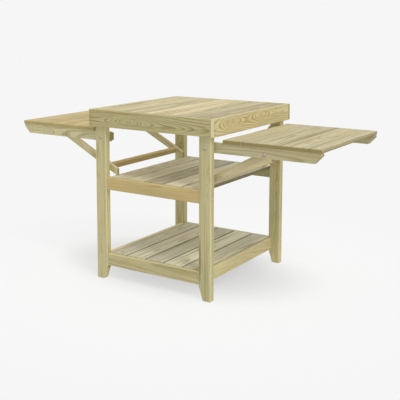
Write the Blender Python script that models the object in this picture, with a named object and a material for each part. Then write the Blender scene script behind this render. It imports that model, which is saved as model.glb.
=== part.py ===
"""Timber outdoor oven table: a framed deck, two shelves and two folding side leaves.

The table is centred on the Z axis and stands on z = 0. X runs across the two leaves,
and -Y is the front. Every length is in metres.
"""
import math

import bmesh
import bpy
from mathutils import Vector

# Deck and the aprons round it
DECK_WIDTH = 0.760
DECK_DEPTH = 0.800
HEIGHT = 0.900
APRON_HEIGHT = 0.088
APRON_THICK = 0.018
DECK_BOARD_THICK = 0.018
DECK_BOARD_COUNT = 7
DECK_BOARD_GAP = 0.0015

# Legs
LEG_WIDTH = 0.066
LEG_DEPTH = 0.034
LEG_SIDE_INSET = 0.028
FOOT_WIDTH = 0.0435
FOOT_TAPER_HEIGHT = 0.070

# Shelves
MIDDLE_SHELF_TOP = 0.547
LOWER_SHELF_TOP = 0.142
SHELF_SLAT_THICK = 0.018
SHELF_SLAT_COUNT = 5
SHELF_SLAT_GAP = 0.0055
MIDDLE_SLATS_TO_LEG = 0.005
LOWER_SLATS_TO_LEG = 0.0015
RAIL_HEIGHT = 0.0635
RAIL_THICK = 0.020
RAIL_SET_BACK = 0.0017
RAIL_BELOW_SLATS = 0.0015

# Side leaves
LEAF_BELOW_APRON = 0.015
LEAF_TO_DECK = 0.015
LEAF_TO_LEG = 0.0022
LEAF_SLAT_WIDTH = 0.1004
LEAF_SLAT_THICK = 0.018
LEAF_SLAT_COUNT = 5
LEAF_SLAT_GAP = 0.0015
ARM_HEIGHT = 0.050
ARM_THICK = 0.022
ARM_SET_IN = 0.006
ARM_TAIL = 0.027
NOSE_FACE = 0.012
NOSE_CHAMFER = 0.036

# Block on the inner face of each arm, at its tail
BLOCK_FROM_TAIL = 0.0025
BLOCK_LENGTH = 0.014
BLOCK_HEIGHT = 0.040
BLOCK_THICK = 0.0165
BLOCK_ABOVE_ARM_FOOT = 0.004
BLOCK_LAP = 0.001

# Swing braces under the leaves
BRACE_PIVOT_OUT = 0.296
BRACE_PIVOT_DROP = 0.009
STRUT_DEPTH = 0.034
STRUT_THICK = 0.020
STRUT_TO_ARM = 0.0005
STRUT_HEEL = 0.022
TOE_ON_SHELF = 0.0165
CROSSBAR_THICK = 0.020
CROSSBAR_FROM_PIVOT = 0.335

# Coach bolts, each with its nut
SHANK_RADIUS = 0.004
SHANK_PAST_NUT = 0.003
BOLT_CLEARANCE = 0.0003
HEAD_RADIUS = 0.010
HEAD_HEIGHT = 0.005
HEAD_CROWN_ANGLE = math.radians(72)
HEAD_STEPS = 3
COLLAR_RADIUS = 0.011
NUT_RADIUS = 0.0075
NUT_HEIGHT = 0.0065
BOLT_SIDES = 12

# Fits and edges
TOUCH = 0.0003
ARRIS = 0.002

# Finishes: colour, roughness, metallic
DECK_FINISH = ((0.55, 0.48, 0.29), 0.70, 0.0)
APRON_FINISH = ((0.45, 0.39, 0.21), 0.70, 0.0)
LEG_FINISH = ((0.48, 0.42, 0.22), 0.70, 0.0)
RAIL_FINISH = ((0.48, 0.39, 0.20), 0.70, 0.0)
SHELF_FINISH = ((0.44, 0.38, 0.24), 0.75, 0.0)
LEAF_FINISH = ((0.62, 0.54, 0.34), 0.70, 0.0)
ARM_FINISH = ((0.36, 0.33, 0.18), 0.70, 0.0)
BRACE_FINISH = ((0.43, 0.37, 0.22), 0.75, 0.0)
BOLT_FINISH = ((0.62, 0.60, 0.55), 0.35, 1.0)

# Places that follow from the sizes above
DECK_SIDE_X = DECK_WIDTH / 2
DECK_END_Y = DECK_DEPTH / 2
APRON_INNER_X = DECK_SIDE_X - APRON_THICK
APRON_INNER_Y = DECK_END_Y - APRON_THICK
DECK_UNDERSIDE = HEIGHT - DECK_BOARD_THICK
LEG_OUTER_X = DECK_SIDE_X - LEG_SIDE_INSET
LEG_INNER_X = LEG_OUTER_X - LEG_WIDTH
LEG_OUTER_Y = APRON_INNER_Y - TOUCH
LEG_INNER_Y = LEG_OUTER_Y - LEG_DEPTH
RAIL_OUTER_Y = LEG_OUTER_Y - RAIL_SET_BACK
RAIL_INNER_Y = RAIL_OUTER_Y - RAIL_THICK
MIDDLE_HALF_WIDTH = LEG_INNER_X - MIDDLE_SLATS_TO_LEG
LOWER_HALF_WIDTH = LEG_INNER_X - LOWER_SLATS_TO_LEG
LEAF_TOP = HEIGHT - APRON_HEIGHT - LEAF_BELOW_APRON
LEAF_INNER_X = DECK_SIDE_X + LEAF_TO_DECK
LEAF_PITCH = LEAF_SLAT_WIDTH + LEAF_SLAT_GAP
LEAF_OUTER_X = LEAF_INNER_X + LEAF_SLAT_COUNT * LEAF_PITCH - LEAF_SLAT_GAP
LEAF_END_Y = LEG_INNER_Y - LEAF_TO_LEG
ARM_OUTER_Y = LEAF_END_Y - ARM_SET_IN
ARM_INNER_Y = ARM_OUTER_Y - ARM_THICK
LEAF_PIVOT_X = (LEG_INNER_X + LEG_OUTER_X) / 2
LEAF_PIVOT_Z = LEAF_TOP - LEAF_SLAT_THICK - TOUCH - ARM_HEIGHT / 2
BRACE_PIVOT_X = LEAF_PIVOT_X + BRACE_PIVOT_OUT
BRACE_PIVOT_Z = LEAF_PIVOT_Z - BRACE_PIVOT_DROP
STRUT_OUTER_Y = ARM_INNER_Y - STRUT_TO_ARM
STRUT_INNER_Y = STRUT_OUTER_Y - STRUT_THICK

# The toe of a strut stands on the middle shelf, which sets the slope of the brace.
TOE_RUN = BRACE_PIVOT_X - (MIDDLE_HALF_WIDTH - TOE_ON_SHELF)
TOE_DROP = BRACE_PIVOT_Z - (MIDDLE_SHELF_TOP + TOUCH)
TOE_REACH = math.hypot(TOE_RUN, TOE_DROP)
BRACE_SLOPE = math.acos(STRUT_DEPTH / (2 * TOE_REACH)) - math.atan2(TOE_RUN, TOE_DROP)

SIDES = {"left": -1, "right": 1}
ENDS = {"front": -1, "back": 1}


def clear_scene():
    """Removes the objects that the scene starts with."""
    for item in list(bpy.data.objects):
        bpy.data.objects.remove(item, do_unlink=True)


def make_material(name, finish):
    """Makes an object's own Principled material from a finish."""
    color, roughness, metallic = finish
    material = bpy.data.materials.new(name)
    material.use_nodes = True
    shader = material.node_tree.nodes["Principled BSDF"]
    shader.inputs["Base Color"].default_value = (*color, 1.0)
    shader.inputs["Roughness"].default_value = roughness
    shader.inputs["Metallic"].default_value = metallic
    return material


def world_place(item):
    """Adds up the locations of an object and its parents."""
    place = Vector(item.location)
    while item.parent is not None:
        item = item.parent
        place += item.location
    return place


def put(item, place, parent):
    """Links an object to the scene at a place in the world."""
    bpy.context.scene.collection.objects.link(item)
    item.location = Vector(place)
    if parent is not None:
        item.parent = parent
        item.location -= world_place(parent)


def make_axis(name, place, parent=None):
    """Adds an empty that stands on a joint's axis."""
    axis = bpy.data.objects.new(name, None)
    put(axis, place, parent)
    return axis


def make_object(name, data, place, parent=None):
    """Turns a bmesh built about `place` into a named object there."""
    bmesh.ops.recalc_face_normals(data, faces=data.faces)
    mesh = bpy.data.meshes.new(name)
    data.to_mesh(mesh)
    data.free()
    item = bpy.data.objects.new(name, mesh)
    put(item, place, parent)
    return item


def shaped_board(name, outline, depth, place, finish, parent=None):
    """Extrudes an outline in X and Z along Y, half of the depth each way from `place`."""
    data = bmesh.new()
    points = [data.verts.new((x, -depth / 2, z)) for x, z in outline]
    grown = bmesh.ops.extrude_face_region(data, geom=[data.faces.new(points)])
    moved = [part for part in grown["geom"] if isinstance(part, bmesh.types.BMVert)]
    bmesh.ops.translate(data, verts=moved, vec=(0, depth, 0))
    item = make_object(name, data, place, parent)
    item.data.materials.append(make_material(name, finish))
    bevel = item.modifiers.new("arris", "BEVEL")
    bevel.width = ARRIS
    bevel.segments = 1
    return item


def board(name, corner, opposite, finish, parent=None):
    """Makes a rectangular board between two opposite corners, given in any order."""
    middle = (Vector(corner) + Vector(opposite)) / 2
    x, y, z = (abs(a - b) / 2 for a, b in zip(corner, opposite))
    outline = [(-x, -z), (x, -z), (x, z), (-x, z)]
    return shaped_board(name, outline, 2 * y, middle, finish, parent)


def turned(profile):
    """Closes a turned solid about the Y axis from (y, radius) pairs."""
    data = bmesh.new()
    rings = []
    for y, radius in profile:
        ring = []
        for step in range(BOLT_SIDES):
            angle = 2 * math.pi * step / BOLT_SIDES
            ring.append(data.verts.new((radius * math.cos(angle), y, radius * math.sin(angle))))
        rings.append(ring)
    for first, second in zip(rings, rings[1:]):
        for step in range(BOLT_SIDES):
            after = (step + 1) % BOLT_SIDES
            data.faces.new((first[step], first[after], second[after], second[step]))
    data.faces.new(rings[0])
    data.faces.new(rings[-1])
    return data


def combine(item, tool, operation):
    """Joins a hidden tool object to an object, or cuts it away."""
    tool.hide_render = True
    tool.display_type = "WIRE"
    boolean = item.modifiers.new(tool.name, "BOOLEAN")
    boolean.operation = operation
    boolean.solver = "EXACT"
    boolean.object = tool


def drill(item, label, place, thickness):
    """Drills a bolt's hole along Y through a member of some thickness."""
    radius = SHANK_RADIUS + BOLT_CLEARANCE
    hole = turned([(-thickness, radius), (thickness, radius)])
    combine(item, make_object("%s_%s_hole" % (item.name, label), hole, place), "DIFFERENCE")


def make_bolt(name, place, end, grip, collar=None, parent=None):
    """Makes a domed coach bolt with its nut, and with a collar where one is given.

    `place` is the middle of the face that the head sits on. `grip` is the distance from
    there to the face that the nut sits on, and `collar` gives where a collar starts and
    ends on the way.
    """
    profile = []
    for step in range(HEAD_STEPS, -1, -1):
        angle = HEAD_CROWN_ANGLE * step / HEAD_STEPS
        height = HEAD_HEIGHT * math.sin(angle) / math.sin(HEAD_CROWN_ANGLE)
        profile.append((-TOUCH - height, HEAD_RADIUS * math.cos(angle)))
    profile.append((-TOUCH, SHANK_RADIUS))
    if collar is not None:
        start, stop = collar
        profile += [(start, SHANK_RADIUS), (start, COLLAR_RADIUS)]
        profile += [(stop, COLLAR_RADIUS), (stop, SHANK_RADIUS)]
    nut = grip + TOUCH
    profile += [(nut, SHANK_RADIUS), (nut, NUT_RADIUS)]
    profile += [(nut + NUT_HEIGHT, NUT_RADIUS), (nut + NUT_HEIGHT, SHANK_RADIUS)]
    profile.append((nut + NUT_HEIGHT + SHANK_PAST_NUT, SHANK_RADIUS))
    inward = [(-end * distance, radius) for distance, radius in profile]
    bolt = make_object(name, turned(inward), place, parent)
    bolt.data.materials.append(make_material(name, BOLT_FINISH))


def make_aprons():
    """Builds the four aprons, each covering one end of the next round the deck."""
    low = HEIGHT - APRON_HEIGHT
    for name, end in ENDS.items():
        outer_corner = (end * DECK_SIDE_X, end * DECK_END_Y, low)
        inner_corner = (-end * (APRON_INNER_X - TOUCH), end * APRON_INNER_Y, HEIGHT)
        board("apron_" + name, outer_corner, inner_corner, APRON_FINISH)
    for name, side in SIDES.items():
        outer_corner = (side * DECK_SIDE_X, -side * DECK_END_Y, low)
        inner_corner = (side * APRON_INNER_X, side * (APRON_INNER_Y - TOUCH), HEIGHT)
        board("apron_" + name, outer_corner, inner_corner, APRON_FINISH)


def make_boards(name, count, half_width, gap, half_length, heights, finish):
    """Lays equal boards side by side along X, each running front to back."""
    pitch = (2 * half_width + gap) / count
    low, high = heights
    for number in range(count):
        left = -half_width + number * pitch
        right = left + pitch - gap
        label = "%s_%d" % (name, number + 1)
        board(label, (left, -half_length, low), (right, half_length, high), finish)


def make_deck():
    """Lays the deck boards inside the aprons."""
    half_width = APRON_INNER_X - TOUCH
    half_length = APRON_INNER_Y - TOUCH
    heights = (DECK_UNDERSIDE, HEIGHT)
    make_boards(
        "deck_board", DECK_BOARD_COUNT, half_width, DECK_BOARD_GAP, half_length, heights, DECK_FINISH
    )


def make_legs():
    """Builds the four legs under the deck, and the bolts that the leaves turn on."""
    half = LEG_WIDTH / 2
    top = DECK_UNDERSIDE - TOUCH
    for side_name, side in SIDES.items():
        outline = [
            (side * half, 0),
            (side * half, top),
            (-side * half, top),
            (-side * half, FOOT_TAPER_HEIGHT),
            (side * (half - FOOT_WIDTH), 0),
        ]
        for end_name, end in ENDS.items():
            label = "%s_%s" % (end_name, side_name)
            middle_y = end * (LEG_INNER_Y + LEG_OUTER_Y) / 2
            place = (side * LEAF_PIVOT_X, middle_y, 0)
            leg = shaped_board("leg_" + label, outline, LEG_DEPTH, place, LEG_FINISH)
            drill(leg, "leaf_bolt", (side * LEAF_PIVOT_X, middle_y, LEAF_PIVOT_Z), LEG_DEPTH)
            seat = (side * LEAF_PIVOT_X, end * LEG_OUTER_Y, LEAF_PIVOT_Z)
            collar = (LEG_DEPTH + TOUCH, LEG_OUTER_Y - ARM_OUTER_Y - TOUCH)
            make_bolt("leaf_bolt_" + label, seat, end, LEG_OUTER_Y - ARM_INNER_Y, collar)


def make_end_rails(shelf, shelf_top):
    """Fits one rail of a shelf between the front legs and one between the back legs."""
    half_length = LEG_INNER_X - TOUCH
    top = shelf_top - RAIL_BELOW_SLATS
    for name, end in ENDS.items():
        outer_corner = (-half_length, end * RAIL_OUTER_Y, top - RAIL_HEIGHT)
        inner_corner = (half_length, end * RAIL_INNER_Y, top)
        board("%s_rail_%s" % (shelf, name), outer_corner, inner_corner, RAIL_FINISH)


def make_side_rails(shelf, shelf_top):
    """Fits one rail of a shelf between the two legs of each side."""
    half_length = LEG_INNER_Y - TOUCH
    top = shelf_top - RAIL_BELOW_SLATS
    for name, side in SIDES.items():
        inner_corner = (side * LEG_INNER_X, -half_length, top - RAIL_HEIGHT)
        outer_corner = (side * (LEG_INNER_X + RAIL_THICK), half_length, top)
        board("%s_rail_%s" % (shelf, name), inner_corner, outer_corner, RAIL_FINISH)


def make_shelf_slats(shelf, shelf_top, half_width):
    """Lays the slats of a shelf between its end rails."""
    make_boards(
        shelf + "_slat",
        SHELF_SLAT_COUNT,
        half_width,
        SHELF_SLAT_GAP,
        RAIL_INNER_Y - TOUCH,
        (shelf_top - SHELF_SLAT_THICK, shelf_top),
        SHELF_FINISH,
    )


def make_arm(side_name, side, end_name, end, axis):
    """Builds an arm under a leaf's slats, with the block on its inner face."""
    half = ARM_HEIGHT / 2
    nose = LEAF_OUTER_X - LEAF_PIVOT_X
    outline = [
        (-side * ARM_TAIL, -half),
        (side * (nose - NOSE_CHAMFER), -half),
        (side * nose, half - NOSE_FACE),
        (side * nose, half),
        (-side * ARM_TAIL, half),
    ]
    middle_y = end * (ARM_INNER_Y + ARM_OUTER_Y) / 2
    name = "%s_leaf_arm_%s" % (side_name, end_name)
    leaf_pivot = (side * LEAF_PIVOT_X, middle_y, LEAF_PIVOT_Z)
    brace_pivot = (side * BRACE_PIVOT_X, middle_y, BRACE_PIVOT_Z)
    arm = shaped_board(name, outline, ARM_THICK, leaf_pivot, ARM_FINISH, axis)
    near = LEAF_PIVOT_X - ARM_TAIL + BLOCK_FROM_TAIL
    foot = LEAF_PIVOT_Z - half + BLOCK_ABOVE_ARM_FOOT
    block = board(
        name + "_block",
        (side * near, end * (ARM_INNER_Y - BLOCK_THICK), foot),
        (side * (near + BLOCK_LENGTH), end * (ARM_INNER_Y + BLOCK_LAP), foot + BLOCK_HEIGHT),
        ARM_FINISH,
    )
    combine(arm, block, "UNION")
    drill(arm, "leaf_bolt", leaf_pivot, ARM_THICK)
    drill(arm, "brace_bolt", brace_pivot, ARM_THICK)


def make_strut(side_name, side, end_name, end, axis):
    """Builds a strut level about its pivot and turns it down to the shelf.

    Its toe is cut so that the cut stands upright once the strut is turned.
    """
    half = STRUT_DEPTH / 2
    lean = half * math.sin(BRACE_SLOPE)
    toe_low = (TOE_RUN + lean) / math.cos(BRACE_SLOPE)
    toe_high = (TOE_RUN - lean) / math.cos(BRACE_SLOPE)
    outline = [
        (-side * toe_low, -half),
        (side * STRUT_HEEL, -half),
        (side * STRUT_HEEL, half),
        (-side * toe_high, half),
    ]
    middle_y = end * (STRUT_INNER_Y + STRUT_OUTER_Y) / 2
    place = (side * BRACE_PIVOT_X, middle_y, BRACE_PIVOT_Z)
    name = "%s_brace_strut_%s" % (side_name, end_name)
    strut = shaped_board(name, outline, STRUT_THICK, place, BRACE_FINISH, axis)
    strut.rotation_euler.y = -side * BRACE_SLOPE
    drill(strut, "brace_bolt", place, STRUT_THICK)


def make_crossbar(side_name, side, axis):
    """Joins the two struts of a brace with a bar near their toes."""
    along = CROSSBAR_FROM_PIVOT
    place = (
        side * (BRACE_PIVOT_X - along * math.cos(BRACE_SLOPE)),
        0,
        BRACE_PIVOT_Z - along * math.sin(BRACE_SLOPE),
    )
    x = CROSSBAR_THICK / 2
    z = STRUT_DEPTH / 2
    outline = [(-x, -z), (x, -z), (x, z), (-x, z)]
    length = 2 * (STRUT_INNER_Y - TOUCH)
    name = side_name + "_brace_crossbar"
    bar = shaped_board(name, outline, length, place, BRACE_FINISH, axis)
    bar.rotation_euler.y = -side * BRACE_SLOPE


def make_leaf(side_name, side):
    """Builds one side leaf on its pivot line, with the brace that holds it up."""
    leaf_axis = make_axis(side_name + "_leaf_axis", (side * LEAF_PIVOT_X, 0, LEAF_PIVOT_Z))
    brace_place = (side * BRACE_PIVOT_X, 0, BRACE_PIVOT_Z)
    brace_axis = make_axis(side_name + "_brace_axis", brace_place, leaf_axis)
    for number in range(LEAF_SLAT_COUNT):
        near = LEAF_INNER_X + number * LEAF_PITCH
        far = near + LEAF_SLAT_WIDTH
        corner = (side * near, -LEAF_END_Y, LEAF_TOP - LEAF_SLAT_THICK)
        opposite = (side * far, LEAF_END_Y, LEAF_TOP)
        name = "%s_leaf_slat_%d" % (side_name, number + 1)
        board(name, corner, opposite, LEAF_FINISH, leaf_axis)
    for end_name, end in ENDS.items():
        make_arm(side_name, side, end_name, end, leaf_axis)
        make_strut(side_name, side, end_name, end, brace_axis)
        name = "brace_bolt_%s_%s" % (end_name, side_name)
        seat = (side * BRACE_PIVOT_X, end * ARM_OUTER_Y, BRACE_PIVOT_Z)
        make_bolt(name, seat, end, ARM_OUTER_Y - STRUT_INNER_Y, parent=leaf_axis)
    make_crossbar(side_name, side, brace_axis)


def main():
    """Builds the whole table."""
    clear_scene()
    make_aprons()
    make_deck()
    make_legs()
    make_end_rails("middle_shelf", MIDDLE_SHELF_TOP)
    make_shelf_slats("middle_shelf", MIDDLE_SHELF_TOP, MIDDLE_HALF_WIDTH)
    make_end_rails("lower_shelf", LOWER_SHELF_TOP)
    make_side_rails("lower_shelf", LOWER_SHELF_TOP)
    make_shelf_slats("lower_shelf", LOWER_SHELF_TOP, LOWER_HALF_WIDTH)
    for side_name, side in SIDES.items():
        make_leaf(side_name, side)


main()
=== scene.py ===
"""Looks of a timber outdoor oven table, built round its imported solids.

Every length is in metres, in the frame of the solids: +X to the right across the two
leaves, +Y from front to back and +Z up. Colours are written as sRGB numbers up to 255.
"""

import logging
import math
import random
from dataclasses import dataclass, field
from enum import Enum
from typing import Optional, Union

import bpy
from mathutils import Matrix, Vector


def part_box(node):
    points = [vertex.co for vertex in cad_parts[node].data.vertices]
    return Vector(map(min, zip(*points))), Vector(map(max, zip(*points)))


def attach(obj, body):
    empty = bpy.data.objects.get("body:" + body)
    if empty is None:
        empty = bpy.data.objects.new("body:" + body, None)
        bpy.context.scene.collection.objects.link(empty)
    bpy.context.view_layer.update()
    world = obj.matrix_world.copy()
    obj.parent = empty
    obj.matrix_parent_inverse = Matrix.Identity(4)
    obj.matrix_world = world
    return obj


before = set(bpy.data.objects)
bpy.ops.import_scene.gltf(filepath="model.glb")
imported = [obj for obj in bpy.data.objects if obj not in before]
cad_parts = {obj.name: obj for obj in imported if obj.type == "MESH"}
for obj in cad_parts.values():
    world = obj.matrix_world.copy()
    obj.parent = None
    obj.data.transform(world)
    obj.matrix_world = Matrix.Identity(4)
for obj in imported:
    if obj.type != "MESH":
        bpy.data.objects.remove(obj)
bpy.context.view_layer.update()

LOG = logging.getLogger("oven_table")
ENDS = {"front": -1, "back": 1}
SIDES = {"left": -1, "right": 1}

Color = tuple[float, float, float]
Feed = Union[bpy.types.NodeSocket, float, tuple, Vector]


class Lie(Enum):
    """How a board lies in the frame of the solids."""

    SQUARE = "square"
    SLOPING = "sloping"


class HeadShape(Enum):
    """What a fastener shows on the face of the wood."""

    NAIL = "nail"
    SCREW = "screw"
    RECESS = "recess"


@dataclass(frozen=True)
class Knot:
    """A knot or an eye of bent grain, placed from the middle of its board.

    Args:
        along: distance along the grain.
        across: distance across the face.
        radius: half its width.
        core: how dark its heart is, from 0 for bent grain alone.
        bend: how far it pushes the rings out, or pulls them in where it is negative.
        stretch: how many times longer than wide the bent grain is.
        heart_stretch: how many times longer than wide the heart is.
    """

    along: float
    across: float
    radius: float
    core: float = 0.0
    bend: float = 2.1
    stretch: float = 2.8
    heart_stretch: float = 1.3


NO_KNOT = Knot(0.0, 0.0, 0.001, bend=0.0)


def eye(along: float, across: float, radius: float, bend: float = 1.3, stretch: float = 5.0) -> Knot:
    """Makes closed, pointed rings like those where a board only grazes the pith.

    Args:
        along: distance along the grain.
        across: distance across the face.
        radius: half the eye's width.
        bend: how far the rings are pulled in.
        stretch: how many times longer than wide it is.

    Returns:
        The eye, as a knot without a heart.
    """
    return Knot(along, across, radius, 0.0, -bend, stretch)


@dataclass(frozen=True)
class Cut:
    """Where the pith runs beside a board, for a board whose grain is seen close.

    Args:
        across: distance of the pith across the face from the middle.
        depth: distance of the pith through the board.
        rise: how much the pith leans through the board along its length.
        spacing: width of a growth ring.
    """

    across: float
    depth: float
    rise: float = 0.0
    spacing: float = 0.0045


@dataclass(frozen=True)
class Pine:
    """Finish of a planed, pressure-treated pine board, with painted light and shade on its arrises, side
    faces and end grain.
    """

    pale: Color
    dark: Color
    warm: Color
    green: Color
    # End grain colour: the darker end grain of treated pine, deepened with painted shade to match the
    # shaded slat ends.
    end_grain_painted_shading: Color = (146, 130, 74)
    ring_spacing: float = 0.0062
    ring_strength: float = 0.75
    warm_share: float = 0.5
    green_share: float = 0.45
    line_strength: float = 0.35
    shade_spread: float = 0.05
    # Colour painted along the arrises: the pale default is a painted highlight, and the slats take painted
    # gap shade instead.
    edge: Color = (226, 216, 176)
    edge_share: float = 0.45
    # How much of the edge colour is painted on the side faces; on the deck, shelf and leaf slats this is
    # painted shade in the gaps between them.
    side_painted_shade: float = 0.0


@dataclass(frozen=True)
class Zinc:
    """Finish of zinc-plated steel."""

    pale: Color = (206, 201, 184)
    dull: Color = (140, 135, 120)
    patch_scale: float = 240.0
    grime_waves: tuple[float, float, float] = (90.0, 90.0, 90.0)
    grime_roughness: float = 0.2
    roughness: float = 0.42
    metallic: float = 0.85


# Painted shade for the gaps between slats: it darkens their arrises and side faces.
PAINTED_GAP_SHADE: Color = (104, 92, 52)
DECK_PINE = Pine((218, 206, 166), (130, 112, 66), (210, 178, 126), (174, 176, 126), line_strength=1.0,
                 shade_spread=0.07, edge=PAINTED_GAP_SHADE, edge_share=0.55, side_painted_shade=0.5)
APRON_PINE = Pine((206, 195, 146), (128, 114, 54), (204, 176, 120), (172, 170, 114),
                  edge=(232, 222, 178), edge_share=0.6)
# The right apron's end grain is a pale painted highlight where its end shows at the front.
SIDE_APRON_PINE = Pine((212, 200, 154), (148, 118, 52), (212, 180, 112), (182, 176, 118),
                       end_grain_painted_shading=(232, 222, 180), ring_strength=0.85, warm_share=0.7)
LEG_PINE = Pine((206, 197, 152), (152, 140, 88), (204, 186, 136), (176, 178, 128), ring_strength=0.6,
                line_strength=0.5, edge_share=0.6)
GOLDEN_RAIL_PINE = Pine((216, 192, 136), (178, 148, 88), (214, 176, 112), (188, 180, 124),
                        ring_strength=0.5)
RAIL_PINE = Pine((208, 196, 150), (160, 142, 90), (210, 180, 122), (184, 182, 132), ring_strength=0.6)
BACK_RAIL_PINE = Pine((176, 172, 130), (128, 122, 80), (176, 162, 116), (156, 160, 116),
                      ring_strength=0.5)
SHELF_PINE = Pine((208, 202, 176), (136, 127, 94), (202, 187, 156), (180, 181, 152), line_strength=0.7,
                  shade_spread=0.06, edge=PAINTED_GAP_SHADE, edge_share=0.6, side_painted_shade=0.85)
PALE_LEAF_PINE = Pine((203, 193, 157), (136, 120, 76), (197, 176, 132), (174, 174, 134),
                      line_strength=0.75, edge=PAINTED_GAP_SHADE, side_painted_shade=0.35)
# The left leaf's end grain is lighter, as painted light where its slat ends show no shade.
GOLDEN_LEAF_PINE = Pine((204, 186, 137), (148, 122, 68), (204, 168, 106), (174, 167, 110),
                        end_grain_painted_shading=(178, 164, 108), line_strength=0.7, edge=PAINTED_GAP_SHADE, edge_share=0.4,
                        side_painted_shade=0.35)
ARM_PINE = Pine((192, 184, 146), (140, 128, 84), (188, 168, 122), (170, 170, 124))
BRACE_PINE = Pine((212, 202, 162), (160, 146, 98), (208, 184, 134), (186, 184, 138), ring_strength=0.6)
ZINC = Zinc()
PAINTED_RECESS_SHADE: Color = (46, 42, 34)


def linear(color: Color) -> tuple[float, float, float, float]:
    """Turns an sRGB colour into the linear one that a shader takes.

    Args:
        color: red, green and blue, up to 255.

    Returns:
        Linear red, green and blue, and an alpha of 1.
    """
    parts = []
    for value in color:
        share = value / 255
        parts.append(share / 12.92 if share <= 0.04045 else ((share + 0.055) / 1.055) ** 2.4)
    return (parts[0], parts[1], parts[2], 1.0)


def shaded(color: Color, share: float) -> Color:
    """Makes a colour lighter or darker by a share of itself."""
    return tuple(min(255.0, value * share) for value in color)


def add_object(name: str, data: bpy.types.ID) -> bpy.types.Object:
    """Makes an object of some data and links it to the scene."""
    item = bpy.data.objects.new(name, data)
    bpy.context.scene.collection.objects.link(item)
    return item


class Graph:
    """Adds nodes to a tree and joins them, one short call for each."""

    def __init__(self, tree: bpy.types.NodeTree) -> None:
        """Takes the tree that the nodes go into."""
        self.tree = tree

    def add(self, kind: str, **settings: object) -> bpy.types.Node:
        """Adds a node.

        Args:
            kind: the node's type.
            settings: properties to set on it.

        Returns:
            The node.
        """
        node = self.tree.nodes.new(kind)
        for name, value in settings.items():
            setattr(node, name, value)
        return node

    def feed(self, socket: bpy.types.NodeSocket, value: Feed) -> None:
        """Links a socket to another one, or sets its own value."""
        if isinstance(value, bpy.types.NodeSocket):
            self.tree.links.new(value, socket)
        else:
            socket.default_value = value

    def math(self, operation: str, *values: Feed) -> bpy.types.NodeSocket:
        """Adds a Math node and returns its result."""
        node = self.add("ShaderNodeMath", operation=operation)
        for socket, value in zip(node.inputs, values):
            self.feed(socket, value)
        return node.outputs[0]

    def vector(self, operation: str, *values: Feed) -> bpy.types.NodeSocket:
        """Adds a Vector Math node and returns its vector, or its number where it gives one."""
        node = self.add("ShaderNodeVectorMath", operation=operation)
        for socket, value in zip(node.inputs, values):
            self.feed(socket, value)
        return node.outputs["Value" if operation in ("DOT_PRODUCT", "LENGTH") else "Vector"]

    def one_minus(self, value: Feed) -> bpy.types.NodeSocket:
        """Takes a value from 1."""
        return self.math("SUBTRACT", 1.0, value)

    def split(self, value: Feed) -> list[bpy.types.NodeSocket]:
        """Gives the three parts of a vector."""
        node = self.add("ShaderNodeSeparateXYZ")
        self.feed(node.inputs[0], value)
        return list(node.outputs)

    def join(self, *parts: Feed) -> bpy.types.NodeSocket:
        """Makes a vector of three parts."""
        node = self.add("ShaderNodeCombineXYZ")
        for socket, value in zip(node.inputs, parts):
            self.feed(socket, value)
        return node.outputs[0]

    def step(self, value: Feed, low: float, high: float) -> bpy.types.NodeSocket:
        """Rises smoothly from 0 to 1 as a value goes from low to high."""
        node = self.add("ShaderNodeMapRange", interpolation_type="SMOOTHSTEP")
        self.feed(node.inputs["Value"], value)
        node.inputs["From Min"].default_value = low
        node.inputs["From Max"].default_value = high
        return node.outputs["Result"]

    def noise(self, place: Feed, stretch: Vector, seed: Feed, detail: float) -> bpy.types.NodeSocket:
        """Reads noise with a number of waves a metre along each axis.

        Args:
            place: where to read it.
            stretch: waves a metre along, across and through the board.
            seed: an offset that makes each board differ.
            detail: octaves of finer noise.

        Returns:
            A number about 0.5.
        """
        node = self.add("ShaderNodeTexNoise")
        node.inputs["Scale"].default_value = 1.0
        node.inputs["Detail"].default_value = detail
        self.feed(node.inputs["Vector"], self.vector("MULTIPLY_ADD", place, stretch, seed))
        return node.outputs[0]

    def mix(self, share: Feed, first: Feed, second: Feed) -> bpy.types.NodeSocket:
        """Mixes two colours and returns the result."""
        node = self.add("ShaderNodeMix", data_type="RGBA")
        for index, value in ((0, share), (6, first), (7, second)):
            self.feed(node.inputs[index], value)
        return node.outputs[2]


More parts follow.
